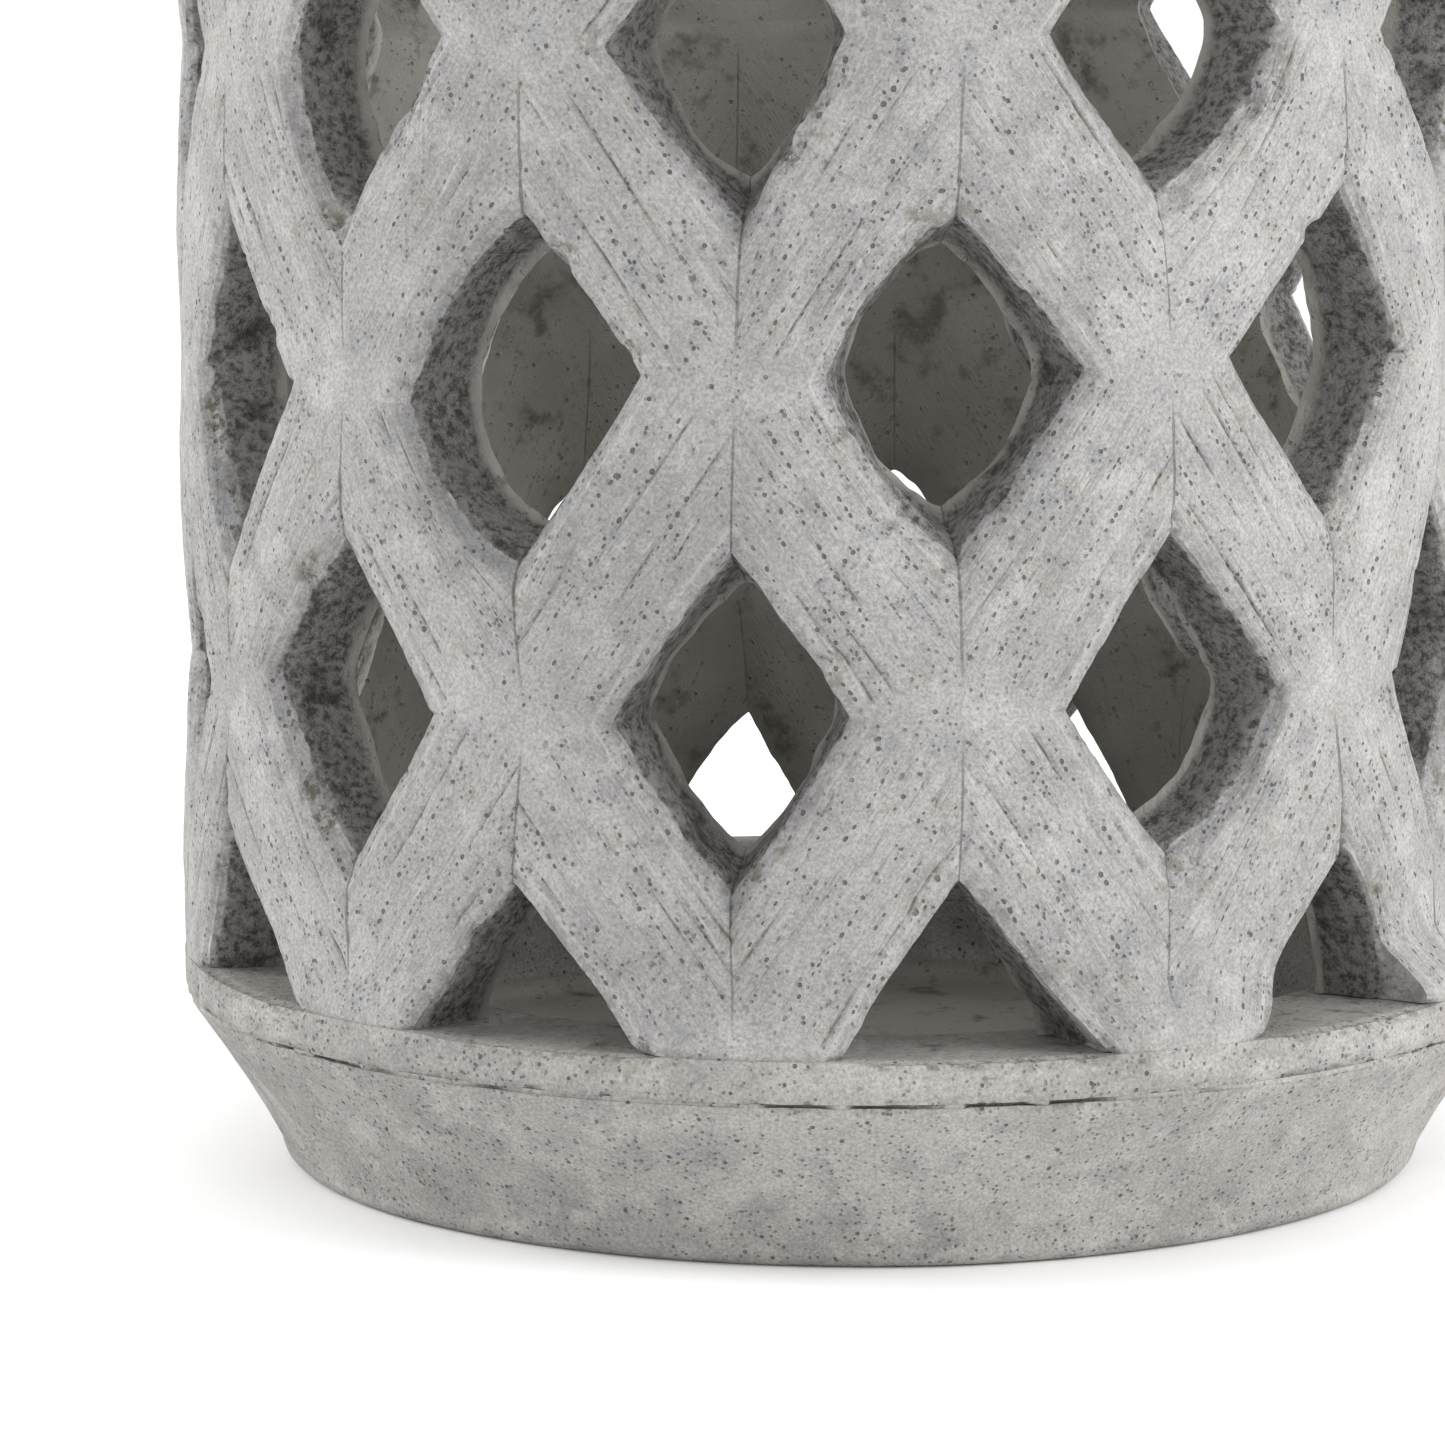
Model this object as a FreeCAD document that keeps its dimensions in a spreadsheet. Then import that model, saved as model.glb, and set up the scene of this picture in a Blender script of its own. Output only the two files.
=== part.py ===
import FreeCAD, Part
import os
import Sketcher

# Stone lantern: a drum of pierced stone rings on a tapered round foot.
#
# The drum is a lattice of diamond openings. It is built of courses, and each course is one zigzag
# ring, notched from below and from above. Two courses meet at the level of a row of openings, so
# the notch under the joint and the notch over it make one diamond. The courses touch only where
# the straps of the lattice cross. There a thin mortar bed and an upright steel pin hold them.
#
# The origin is the centre of the flat underside. +Z points up the axis, and column 0 of the
# openings looks along -Y. All lengths are in millimetres and all angles in degrees.

doc = FreeCAD.newDocument("stone_lantern")
UP = FreeCAD.Vector(0, 0, 1)

# ---------------------------------------------------------------- driving dimensions

DIMENSIONS = [
    ("lattice_radius", 150.0, "outside of the lattice"),
    ("wall_thickness", 25.0, "lattice wall, measured inwards"),
    ("columns", 10, "diamond openings in one row"),
    ("courses", 4, "lattice rings above one another"),
    ("row_pitch", 70.4, "height from one row of openings to the next"),
    ("opening_half_height", 35.2, "centre to upper tip of a diamond, on the outside"),
    ("opening_half_width", 26.6, "centre to side corner of a diamond, on the outside"),
    ("opening_taper", 10.0, "slope of an opening's sides, which narrow inwards"),
    ("foot_height", 39.5, "underside of the foot to its top"),
    ("foot_bottom_radius", 131.0, "outside of the foot where it stands"),
    ("foot_edge_radius", 5.0, "rounding of the foot's lower edge"),
    ("foot_collar_height", 5.0, "upright collar at the top of the foot"),
    ("floor_thickness", 18.0, "stone under the floor of the lantern"),
    ("floor_corner_radius", 8.0, "rounding between the floor and the foot's wall"),
    ("rim_projection", 5.0, "how far the two plain rings stand out past the lattice"),
    ("ledge_depth", 28.0, "outside of the lattice to the inside of the plain rings"),
    ("base_ring_height", 9.0, "plain band over the foot"),
    ("top_ring_height", 20.0, "plain rim round the mouth"),
    ("top_edge_radius", 5.0, "rounding of the rim's two upper edges"),
    ("bed_thickness", 1.0, "mortar between two pieces"),
    ("pin_radius", 3.0, "steel dowel pins"),
    ("pin_depth", 14.0, "how deep a pin sits in the stone at each end"),
]

dims = doc.addObject("Spreadsheet::Sheet", "dims")
for row, (alias, value, note) in enumerate(DIMENSIONS, start=1):
    dims.set(f"A{row}", alias)
    dims.set(f"B{row}", str(value))
    dims.set(f"C{row}", note)
    dims.setAlias(f"B{row}", alias)
doc.recompute()

# Sizes that follow from the driving ones, written as expressions.
WALL_INNER = "(dims.lattice_radius - dims.wall_thickness)"
WALL_MIDDLE = "(dims.lattice_radius - dims.wall_thickness / 2)"
RIM_OUTER = "(dims.lattice_radius + dims.rim_projection)"
RING_INNER = "(dims.lattice_radius - dims.ledge_depth)"
COURSE_HEIGHT = "(dims.row_pitch - dims.bed_thickness)"
HALF_BED = "(dims.bed_thickness / 2)"
BASE_RING_Z = "(dims.foot_height + dims.bed_thickness)"
LEVEL_0 = f"({BASE_RING_Z} + dims.base_ring_height + {HALF_BED})"
HALF_STEP = "(180 deg / dims.columns)"
SHORT_PIN = "(2 * dims.pin_depth + dims.bed_thickness)"
LONG_PIN = f"({SHORT_PIN} + dims.base_ring_height + dims.bed_thickness)"
PAST_THE_WALL = "(dims.wall_thickness * 1.5)"

# Where a sketch's lines and circles start, before their dimensions move them into place.
GUESS = 10


def level(row):
    """Height of the middle of a row of openings; row 0 stands on the base ring."""
    return f"({LEVEL_0} + {row} * dims.row_pitch)"


# ---------------------------------------------------------------- helpers

sub_parts = []


def new_body(label, height=None, half_steps=0):
    """A body for one sub-part, lifted to a height and turned by a number of half columns."""
    body = doc.addObject("PartDesign::Body", label)
    body.Label = label
    if height is not None:
        body.setExpression("Placement.Base.z", height)
    if half_steps:
        body.Placement.Rotation = FreeCAD.Rotation(UP, 1)
        body.setExpression("Placement.Rotation.Angle", f"{half_steps} * {HALF_STEP}")
    sub_parts.append(body)
    return body


def origin_feature(body, role):
    return next(item for item in body.Origin.OriginFeatures if item.Role == role)


def new_sketch(body, name, role):
    """An empty sketch on one of the body's own origin planes."""
    sketch = body.newObject("Sketcher::SketchObject", name)
    sketch.AttachmentSupport = [(origin_feature(body, role), "")]
    sketch.MapMode = "FlatFace"
    return sketch


def name_constraint(sketch, constraint, name, expression):
    """Add a dimension to a sketch and bind it to the sheet."""
    index = sketch.addConstraint(constraint)
    sketch.renameConstraint(index, name)
    sketch.setExpression(f"Constraints.{name}", expression)


def add_circle(sketch, name, radius):
    """A circle round the sketch's origin."""
    circle = sketch.addGeometry(Part.Circle(FreeCAD.Vector(), UP, GUESS), False)
    sketch.addConstraint(Sketcher.Constraint("Coincident", circle, 3, -1, 1))
    name_constraint(sketch, Sketcher.Constraint("Radius", circle, GUESS), name, radius)


def pad_ring(body, outer, inner, height):
    """A plain ring that stands on the body's XY plane."""
    sketch = new_sketch(body, body.Label + "_section", "XY_Plane")
    add_circle(sketch, "outer", outer)
    add_circle(sketch, "inner", inner)
    pad = body.newObject("PartDesign::Pad", body.Label + "_ring")
    pad.Profile = sketch
    pad.setExpression("Length", height)


def repeat_round(body, feature, count):
    """Repeat a cut round the body's Z axis."""
    pattern = body.newObject("PartDesign::PolarPattern", feature.Name + "_round")
    pattern.Originals = [feature]
    pattern.Axis = (origin_feature(body, "Z_Axis"), [""])
    pattern.Angle = 360
    pattern.setExpression("Occurrences", count)
    body.Tip = pattern


def cut_openings(body, name, height, half_steps):
    """Cut one row of diamond openings, whose middle is at a height in the body's own frame."""
    sketch = new_sketch(body, name + "_diamond", "XZ_Plane")
    offset = FreeCAD.Placement()
    offset.Rotation = FreeCAD.Rotation(FreeCAD.Vector(0, 1, 0), 1)
    sketch.AttachmentOffset = offset
    angle = f"{half_steps} * {HALF_STEP}"
    sketch.setExpression("AttachmentOffset.Rotation.Angle", angle)
    sketch.setExpression("AttachmentOffset.Base.x", f"dims.lattice_radius * sin({angle})")
    sketch.setExpression("AttachmentOffset.Base.y", height)
    sketch.setExpression("AttachmentOffset.Base.z", f"dims.lattice_radius * cos({angle})")
    directions = [(1, 0), (0, 1), (-1, 0), (0, -1)]
    corners = [FreeCAD.Vector(GUESS * across, GUESS * up) for across, up in directions]
    lines = []
    for start, end in zip(corners, corners[1:] + corners[:1]):
        lines.append(sketch.addGeometry(Part.LineSegment(start, end), False))
    for first, second in zip(lines, lines[1:] + lines[:1]):
        sketch.addConstraint(Sketcher.Constraint("Coincident", first, 2, second, 1))
    for line in (lines[0], lines[2]):
        sketch.addConstraint(Sketcher.Constraint("PointOnObject", line, 1, -1))
        sketch.addConstraint(Sketcher.Constraint("PointOnObject", line, 2, -2))
    origin, upper, lower = (-1, 1), lines[0], lines[2]
    distances = [
        ("right", "DistanceX", origin, (upper, 1), "dims.opening_half_width"),
        ("left", "DistanceX", (lower, 1), origin, "dims.opening_half_width"),
        ("top", "DistanceY", origin, (upper, 2), "dims.opening_half_height"),
        ("bottom", "DistanceY", (lower, 2), origin, "dims.opening_half_height"),
    ]
    for corner, kind, start, end, size in distances:
        name_constraint(sketch, Sketcher.Constraint(kind, *start, *end, GUESS), corner, size)
    pocket = body.newObject("PartDesign::Pocket", name)
    pocket.Profile = sketch
    pocket.Type = 0
    pocket.setExpression("Length", PAST_THE_WALL)
    pocket.setExpression("TaperAngle", "-dims.opening_taper")
    repeat_round(body, pocket, "dims.columns")


def pin_sketch(body, name, height, half_steps):
    """One pin's circle on the middle of the wall, a number of half columns round."""
    sketch = new_sketch(body, name + "_circle", "XY_Plane")
    sketch.setExpression("AttachmentOffset.Base.z", height)
    circle = sketch.addGeometry(Part.Circle(FreeCAD.Vector(GUESS, -2 * GUESS), UP, GUESS), False)
    angle = f"{half_steps} * {HALF_STEP}"
    name_constraint(sketch, Sketcher.Constraint("Radius", circle, GUESS), "radius", "dims.pin_radius")
    if half_steps:
        across = Sketcher.Constraint("DistanceX", -1, 1, circle, 3, GUESS)
        name_constraint(sketch, across, "across", f"{WALL_MIDDLE} * sin({angle})")
    else:
        sketch.addConstraint(Sketcher.Constraint("PointOnObject", circle, 3, -2))
    along = Sketcher.Constraint("DistanceY", circle, 3, -1, 1, 2 * GUESS)
    name_constraint(sketch, along, "along", f"{WALL_MIDDLE} * cos({angle})")
    return sketch


def cut_pin_holes(body, name, height, depth, upwards, half_steps):
    """A hole for each pin, cut upwards or downwards from a height in the body's own frame."""
    pocket = body.newObject("PartDesign::Pocket", name)
    pocket.Profile = pin_sketch(body, name, height, half_steps)
    pocket.Type = 0
    pocket.Reversed = upwards
    pocket.setExpression("Length", depth)
    repeat_round(body, pocket, "dims.columns")


def round_edges(body, name, radius, wanted):
    """Round the edges that a test picks from the body's present shape."""
    doc.recompute()
    base = body.Tip
    edges = [f"Edge{i}" for i, edge in enumerate(base.Shape.Edges, start=1) if wanted(edge)]
    fillet = body.newObject("PartDesign::Fillet", name)
    fillet.Base = (base, edges)
    fillet.setExpression("Radius", radius)
    body.Tip = fillet


def circle_at(edge, radius, height):
    """True for a round edge of this radius at this height."""
    curve = edge.Curve
    if not isinstance(curve, Part.Circle):
        return False
    return abs(curve.Radius - radius) < 1e-3 and abs(curve.Center.z - height) < 1e-3


# ---------------------------------------------------------------- foot

def make_foot():
    """A tapered dish: flat underneath, with a floor inside and an upright collar at its top."""
    body = new_body("foot")
    sketch = new_sketch(body, "foot_profile", "XZ_Plane")
    # roughly the right shape, so that the dimensions find this outline and not its mirror image
    outline = [(0, 0), (131, 0), (155, 34), (155, 39), (122, 39), (122, 18), (0, 18)]
    points = [FreeCAD.Vector(across, up) for across, up in outline]
    lines = []
    for start, end in zip(points, points[1:] + points[:1]):
        lines.append(sketch.addGeometry(Part.LineSegment(start, end), False))
    for first, second in zip(lines, lines[1:] + lines[:1]):
        sketch.addConstraint(Sketcher.Constraint("Coincident", first, 2, second, 1))
    under, _slope, collar, top, inside, floor, axis = lines
    sketch.addConstraint(Sketcher.Constraint("Coincident", under, 1, -1, 1))
    for line in (under, top, floor):
        sketch.addConstraint(Sketcher.Constraint("Horizontal", line))
    for line in (collar, inside, axis):
        sketch.addConstraint(Sketcher.Constraint("Vertical", line))
    sizes = [
        ("bottom", "DistanceX", under, "dims.foot_bottom_radius"),
        ("collar", "DistanceY", collar, "dims.foot_collar_height"),
        ("collar_width", "DistanceX", top, f"{RIM_OUTER} - {RING_INNER}"),
        ("floor_radius", "DistanceX", floor, RING_INNER),
        ("floor_height", "DistanceY", axis, "dims.floor_thickness"),
    ]
    for name, kind, line, size in sizes:
        ends = (line, 2, line, 1) if line in (top, floor, axis) else (line, 1, line, 2)
        name_constraint(sketch, Sketcher.Constraint(kind, *ends, 20), name, size)
    height = Sketcher.Constraint("DistanceY", -1, 1, collar, 2, 39)
    name_constraint(sketch, height, "height", "dims.foot_height")
    turned = body.newObject("PartDesign::Revolution", "foot_turned")
    turned.Profile = sketch
    turned.ReferenceAxis = (sketch, ["V_Axis"])
    turned.Angle = 360
    round_edges(body, "foot_lower_edge", "dims.foot_edge_radius",
                lambda edge: circle_at(edge, dims.foot_bottom_radius, 0))
    inner_radius = dims.lattice_radius - dims.ledge_depth
    round_edges(body, "foot_floor_corner", "dims.floor_corner_radius",
                lambda edge: circle_at(edge, inner_radius, dims.floor_thickness))
    cut_pin_holes(body, "foot_pin_holes", "dims.foot_height", "dims.pin_depth", False, 0)


# ---------------------------------------------------------------- plain rings and lattice courses

def make_base_ring():
    """The plain band over the foot; its flat top is the ledge that the lattice stands on."""
    body = new_body("base_ring", BASE_RING_Z)
    pad_ring(body, RIM_OUTER, RING_INNER, "dims.base_ring_height")
    cut_pin_holes(body, "base_ring_holes", "dims.base_ring_height", "dims.base_ring_height", False, 0)


def make_course(number):
    """One zigzag ring between two levels. Every second course is turned by half a column."""
    body = new_body(f"lattice_course_{number}", f"{level(number - 1)} + {HALF_BED}", number % 2)
    pad_ring(body, "dims.lattice_radius", WALL_INNER, COURSE_HEIGHT)
    cut_openings(body, f"course_{number}_lower_notches", f"-{HALF_BED}", 0)
    cut_openings(body, f"course_{number}_upper_notches", f"{COURSE_HEIGHT} + {HALF_BED}", 1)
    cut_pin_holes(body, f"course_{number}_lower_holes", "0 mm", "dims.pin_depth", True, 1)
    cut_pin_holes(body, f"course_{number}_upper_holes", COURSE_HEIGHT, "dims.pin_depth", False, 0)


def make_top_ring():
    """The plain rim round the mouth, with rounded upper edges."""
    body = new_body("top_ring", f"{level(course_count)} + {HALF_BED}")
    pad_ring(body, RIM_OUTER, RING_INNER, "dims.top_ring_height")
    round_edges(body, "top_ring_edges", "dims.top_edge_radius",
                lambda edge: edge.BoundBox.ZMin > dims.top_ring_height - 1e-3)
    cut_pin_holes(body, "top_ring_holes", "0 mm", "dims.pin_depth", True, course_count % 2)


# ---------------------------------------------------------------- mortar and pins

def make_foot_bed():
    """The mortar ring between the foot and the base ring."""
    body = new_body("foot_mortar_bed", "dims.foot_height")
    pad_ring(body, RIM_OUTER, RING_INNER, "dims.bed_thickness")
    cut_pin_holes(body, "foot_bed_holes", "dims.bed_thickness", "dims.bed_thickness", False, 0)


def make_mortar_bed(row):
    """The mortar patches at one level: a thin slice of the wall, broken by the row's openings."""
    body = new_body(f"mortar_bed_{row}", f"{level(row)} - {HALF_BED}", (row + 1) % 2)
    pad_ring(body, "dims.lattice_radius", WALL_INNER, "dims.bed_thickness")
    cut_openings(body, f"mortar_{row}_gaps", HALF_BED, 0)
    cut_pin_holes(body, f"mortar_{row}_holes", "dims.bed_thickness", "dims.bed_thickness", False, 1)


def make_pins(row):
    """The upright pins through one level. The lowest ones reach down through the base ring."""
    length = LONG_PIN if row == 0 else SHORT_PIN
    top = f"{level(row)} + {HALF_BED} + dims.pin_depth"
    body = new_body(f"pins_{row}", f"{top} - {length}", row % 2)
    pad = body.newObject("PartDesign::Pad", f"pins_{row}_pin")
    pad.Profile = pin_sketch(body, f"pins_{row}", "0 mm", 0)
    pad.setExpression("Length", length)
    repeat_round(body, pad, "dims.columns")


# ---------------------------------------------------------------- the whole lantern

course_count = int(dims.courses)
make_foot()
make_foot_bed()
make_base_ring()
for number in range(1, course_count + 1):
    make_course(number)
make_top_ring()
for row in range(course_count + 1):
    make_mortar_bed(row)
    make_pins(row)
doc.recompute()

for item in doc.Objects:
    if "Invalid" in item.State or "Error" in item.State:
        raise RuntimeError(f"{item.Name} failed: {item.State}")
for body in sub_parts:
    if body.Shape.isNull() or not body.Shape.isValid():
        raise RuntimeError(f"{body.Label} has no valid shape")

os.makedirs("parts", exist_ok=True)
for body in sub_parts:
    body.Shape.exportStep(f"parts/{body.Label}.step")
    solids = len(body.Shape.Solids)
    print(f"{body.Label}: {solids} solid(s), {body.Shape.Volume / 1000:.1f} cm3")
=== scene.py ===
import math
import bpy
import numpy as np
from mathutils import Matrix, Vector


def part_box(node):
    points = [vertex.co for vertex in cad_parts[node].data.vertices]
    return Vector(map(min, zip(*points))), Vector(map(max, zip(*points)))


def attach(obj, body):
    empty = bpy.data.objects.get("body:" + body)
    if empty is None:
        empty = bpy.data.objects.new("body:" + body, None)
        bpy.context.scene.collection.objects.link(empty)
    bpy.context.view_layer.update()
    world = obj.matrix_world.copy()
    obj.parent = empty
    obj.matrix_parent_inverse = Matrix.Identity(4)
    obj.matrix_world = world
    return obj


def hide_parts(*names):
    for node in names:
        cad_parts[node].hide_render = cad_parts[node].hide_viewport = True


# Stone lantern. Each stone ring and mortar bed of the frame is replaced by a mesh of the same piece, with
# combed grooves, pits, chipped edges and rough openings. The steel pins keep their shape and get a material.
# The meshes are made in millimetres and scaled to metres when the object is made.

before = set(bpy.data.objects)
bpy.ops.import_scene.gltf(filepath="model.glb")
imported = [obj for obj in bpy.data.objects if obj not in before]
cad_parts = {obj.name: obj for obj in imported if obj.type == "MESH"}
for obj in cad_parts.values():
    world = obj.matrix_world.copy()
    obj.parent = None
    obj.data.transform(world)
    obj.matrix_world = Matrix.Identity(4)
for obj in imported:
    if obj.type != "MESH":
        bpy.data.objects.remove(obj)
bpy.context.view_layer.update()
MM = 0.001


def cad_z(node):
    """Lowest and highest point of a CAD node, in millimetres."""
    low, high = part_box(node)
    return low[2] / MM, high[2] / MM


# ---------------------------------------------------------------- sizes, in millimetres

COURSES = 4
COLUMNS = 10
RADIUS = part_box("lattice_course_1")[1][1] / MM          # outside of the lattice
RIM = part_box("base_ring")[1][0] / MM                    # outside of the plain rings
WALL = 25.0                                             # lattice wall
RING_INNER = RADIUS - 28.0                              # inside of the plain rings
TOP_EDGE = 5.0                                          # rounding of the top ring's edges
FOOT_EDGE = 5.0                                         # rounding of the foot's lower edge
FLOOR_CORNER = 8.0                                      # rounding between the floor and the wall of the foot
RING_MEETS = 14.0                                       # height over which the straps flow into a ring
SWAY_FREE = 45.0                                        # height over which the rows start to wander
FOOT_BOTTOM = 131.0                                     # outside of the foot where it stands
FLOOR = 18.0                                            # floor of the lantern above the ground
BED = cad_z("mortar_bed_1")[1] - cad_z("mortar_bed_1")[0]
LEVELS = [sum(cad_z(f"mortar_bed_{row}")) / 2 for row in range(COURSES + 1)]
PITCH = LEVELS[1] - LEVELS[0]
HALF_COLUMN = math.pi / COLUMNS
CELL_WIDTH = RADIUS * HALF_COLUMN                       # half the width of one cell, along the arc
OPEN_WIDTH, OPEN_HEIGHT = 26.8, PITCH / 2               # half sizes of an opening, outside
INNER_SIZES = {"front": (22.3, 27.8), "back": (20.3, 25.4), "base": (23.6, 32.4)}  # half sizes, inside
TILT = 4.0                                              # the rows rise this much from left to right
LEAN = -5.0                                             # the drum sits this far to the left of the foot

# How the corners of some openings lie off the regular lattice, sideways and up, and how far the middles of
# some sides are cut back, as in lower_left, all in millimetres. An opening is (row, half column), with
# row 0 on the base band and half column 0 at the front. Half columns -9 and 8 to 10 are at the back.
HAND_MADE = {
    (3, -2): {"left": (6.0, -2.5), "right": (-1.0, 2.5), "bottom": (-3.5, -2.5), "lower_left": 4.0},
    (3, 0): {"left": (-3.0, -1.0), "right": (-4.0, 1.0), "bottom": (1.0, -3.0)},
    (3, 2): {"left": (-2.0, 0.0), "right": (2.5, 0.0), "bottom": (-2.5, 0.5), "lower_right": 4.0},
    (3, 4): {"left": (-2.0, -2.0)},
    (2, -3): {"right": (-2.5, -1.5), "top": (-5.5, -0.5), "bottom": (-4.0, -5.0), "lower_left": 1.5},
    (2, -1): {"left": (-5.0, -6.0), "right": (-0.5, 2.5), "top": (-0.5, 1.0), "bottom": (-3.5, -5.0),
              "upper_left": 4.0, "lower_left": 4.0},
    (2, 1): {"left": (-2.0, 0.5), "right": (0.5, 0.5), "top": (-0.5, -1.0), "bottom": (-0.5, -1.5),
             "upper_left": 3.5, "lower_left": 2.5},
    (2, 3): {"left": (-4.0, 2.0), "right": (0.0, -2.0), "top": (3.0, 0.5), "bottom": (0.5, -1.0)},
    (1, -2): {"left": (-5.0, 5.0), "right": (-5.5, 0.0), "top": (-3.5, 0.5), "bottom": (-3.5, -0.5),
              "lower_left": 1.5},
    (1, 0): {"left": (-2.0, -1.0), "right": (-3.0, -0.5), "top": (-1.5, 0.0), "bottom": (-2.0, -4.0)},
    (1, 2): {"left": (2.5, -1.0), "right": (6.5, -1.0), "top": (1.5, 1.5), "bottom": (1.5, 1.0),
             "lower_right": 4.0},
    (1, 4): {"left": (8.0, -2.0)},
    (0, -3): {"top": (-10.0, 2.0)},
    (0, -1): {"left": (-2.5, 0.0), "right": (-1.5, 0.0), "top": (-4.0, -1.5)},
    (0, 1): {"left": (1.0, 0.0), "right": (2.5, 0.0)},
    (0, 3): {"top": (7.5, -2.0), "upper_right": 3.5},
    (0, -9): {"top": (-7.5, 5.5)},
    (0, 9): {"left": (-12.0, 0.0), "top": (-11.0, 9.0)},
    (1, 8): {"right": (-9.0, 3.0), "bottom": (-4.0, 10.0)},
    (2, 9): {"right": (-9.0, 0.0)},
    (3, 10): {"right": (-9.0, 0.0)},
}

# ---------------------------------------------------------------- noise

TABLE = np.random.default_rng(7).random(1 << 16) * 2 - 1


def lattice_value(ix, iy, iz, seed):
    mixed = (ix * 73856093) ^ (iy * 19349663) ^ (iz * 83492791) ^ (seed * 2654435761)
    return TABLE[(mixed ^ (mixed >> 15)) & 0xFFFF]


def noise(points, size, seed):
    """Smooth noise from -1 to 1 with bumps of one size, at points of two or three coordinates."""
    if points.shape[1] == 2:
        points = np.column_stack([points, np.full(len(points), 0.5)])
    scaled = points / size
    base = np.floor(scaled).astype(np.int64)
    part = scaled - base
    part = part * part * (3 - 2 * part)
    total = np.zeros(len(points))
    for dx in (0, 1):
        for dy in (0, 1):
            for dz in (0, 1):
                weight = (part[:, 0] if dx else 1 - part[:, 0]) * (part[:, 1] if dy else 1 - part[:, 1])
                weight = weight * (part[:, 2] if dz else 1 - part[:, 2])
                total += weight * lattice_value(base[:, 0] + dx, base[:, 1] + dy, base[:, 2] + dz, seed)
    return total


def rough(points, size, seed, octaves=3):
    """Layered noise from about -1 to 1: each layer is half the size and half the height."""
    total = np.zeros(len(points))
    for octave in range(octaves):
        total += noise(points, size / 2 ** octave, seed + octave) / 2 ** octave
    return total / 1.5


def smooth(low, high, value):
    step = np.clip((value - low) / (high - low), 0, 1)
    return step * step * (3 - 2 * step)


def pits(points, spacing, radius, stretch, chance, seed):
    """Scattered pits, from 0 to 1 at the middle of one. points holds along and across, in millimetres."""
    cell = np.floor(points / (spacing * np.array([stretch, 1.0]))).astype(np.int64)
    deepest = np.zeros(len(points))
    for da in (-1, 0, 1):
        for dc in (-1, 0, 1):
            a, c = cell[:, 0] + da, cell[:, 1] + dc
            at_a = (a + 0.5 + 0.4 * lattice_value(a, c, 1, seed)) * spacing * stretch
            at_c = (c + 0.5 + 0.4 * lattice_value(a, c, 2, seed)) * spacing
            size = radius * (1 + 0.5 * lattice_value(a, c, 3, seed))
            there = lattice_value(a, c, 4, seed) < 2 * chance - 1
            away = ((points[:, 0] - at_a) / (size * stretch)) ** 2 + ((points[:, 1] - at_c) / size) ** 2
            deepest = np.maximum(deepest, np.where(there, np.clip(1 - away, 0, 1), 0))
    return deepest


# ---------------------------------------------------------------- lattice

# Stations run from the middle of a strap over its outer face to the opening, through the opening's side and
# back over the inner face to the middle. face counts from 1 in the middle of the strap to 0 at the opening.
GROOVES = (0.76, 0.5, 0.27)
GROOVE_HALF = 0.04
OUTER_FACE = [1.0, 0.96, 0.92, 0.88, 0.84]
for groove, steps in zip(GROOVES, (4, 3, 2)):
    below = groove - GROOVE_HALF
    following = 0.54 if groove == GROOVES[0] else 0.31 if groove == GROOVES[1] else 0.16
    OUTER_FACE += [groove + GROOVE_HALF, groove] + list(np.linspace(below, following, steps, endpoint=False))
OUTER_FACE += [0.16, 0.125, 0.09, 0.06, 0.035, 0.015, 0.0]
SIDE = list(np.linspace(0, 1, 17)[1:-1])
INNER_FACE = [0.0, 0.06, 0.14, 0.25, 0.4, 0.55, 0.7, 0.85, 1.0]
FACE = np.array(OUTER_FACE + [0.0] * len(SIDE) + INNER_FACE)
THROUGH = np.array([0.0] * len(OUTER_FACE) + SIDE + [1.0] * len(INNER_FACE))
SIDE_STEPS = 64
LOOP = np.linspace(0, 2, 2 * SIDE_STEPS + 1)            # positions round half an opening, corner to corner


def stone_point(along, height, depth):
    """Where a spot on the lattice lies: arc along the outside, height and depth, all in millimetres."""
    turn = along / RADIUS
    out = RADIUS - depth
    return np.column_stack([out * np.sin(turn), -out * np.cos(turn), height])


def shifted(points, sideways):
    """Points moved to the right by a distance in millimetres."""
    return points + np.array([sideways, 0.0, 0.0])


def inner_size(row, half_column):
    """Half width and half height of an opening on the inside of the wall."""
    if row == 0:
        return INNER_SIZES["base"]
    behind = math.cos(half_column * HALF_COLUMN) < 0
    return INNER_SIZES["back" if behind else "front"]


def corner_move(off, corner):
    """How far one corner of an opening is moved, sideways and up, as a column of two."""
    return np.array(off.get(corner, (0.0, 0.0)))[:, None]


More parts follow.
